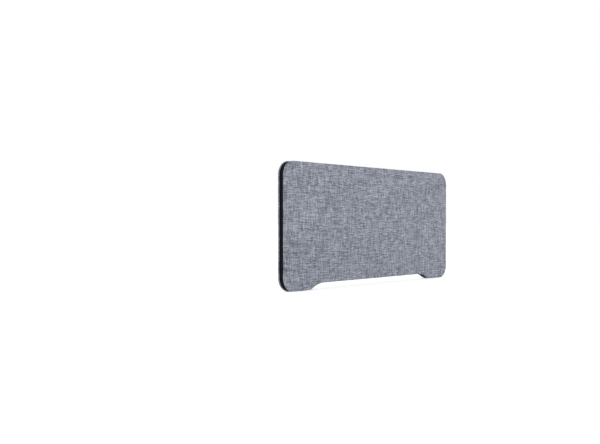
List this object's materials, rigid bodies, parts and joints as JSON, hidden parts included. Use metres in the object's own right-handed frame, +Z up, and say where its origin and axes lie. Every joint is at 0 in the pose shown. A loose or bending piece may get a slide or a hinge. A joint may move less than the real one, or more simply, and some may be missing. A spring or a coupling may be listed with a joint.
{
  "type": "desk privacy panel",
  "caption": "Upright fabric-covered desk screen with rounded corners, a zip round its edge and a cable gap between two feet.",
  "frame": {"origin": "on the plane the feet stand on, under the middle of the panel", "axes": "+X along the panel, towards the end that holds the zip's slider; -Y is the front; +Z is up"},
  "size_m": [1.4, 0.043, 0.59],
  "materials": {
    "cover_fabric": "heather weave, bluish grey",
    "pad_felt": "soft felt",
    "infill_fibre": "pressed fibre board",
    "zip_tape": "black woven tape",
    "webbing": "black webbing",
    "zip_teeth": "black nylon",
    "zip_metal": "black enamel",
    "eyelet_metal": "black enamel",
    "insert_brass": "turned brass",
    "frame_wood": "planed pine",
    "dowel_wood": "fluted beech"
  },
  "bodies": {
    "panel": {"front_cover": "cover_fabric", "back_cover": "cover_fabric", "front_pad": "pad_felt", "back_pad": "pad_felt", "zip_tape_front": "zip_tape", "zip_tape_back": "zip_tape", "zip_chain_front": "zip_teeth", "zip_chain_back": "zip_teeth", "zip_start_stop": "zip_metal", "zip_end_stops": "zip_metal", "bottom_gusset": "webbing", "gusset_eyelets": "eyelet_metal", "threaded_inserts": "insert_brass", "frame_dowels": "dowel_wood", "left_foot_block": "frame_wood", "right_foot_block": "frame_wood", "left_stile": "frame_wood", "right_stile": "frame_wood", "left_corner_block": "frame_wood", "right_corner_block": "frame_wood", "top_rail": "frame_wood", "bottom_rail": "frame_wood", "left_upright": "frame_wood", "right_upright": "frame_wood", "left_infill": "infill_fibre", "middle_infill": "infill_fibre", "right_infill": "infill_fibre"},
    "slider": {"zip_slider": "zip_metal"},
    "pull": {"slider_pull": "zip_metal"}
  },
  "joints": [
    {"name": "zip_slider_slide", "type": "slide", "parent": "panel", "child": "slider", "axis": [0, 0, 1], "range_m": [0, 0.43], "deforming": ["zip_chain_front", "zip_chain_back"]},
    {"name": "zip_pull_hinge", "type": "hinge", "parent": "slider", "child": "pull", "pos_m": [0.6985, 0, 0.0853], "axis": [0, -1, 0], "range_deg": [0, 175]}
  ]
}
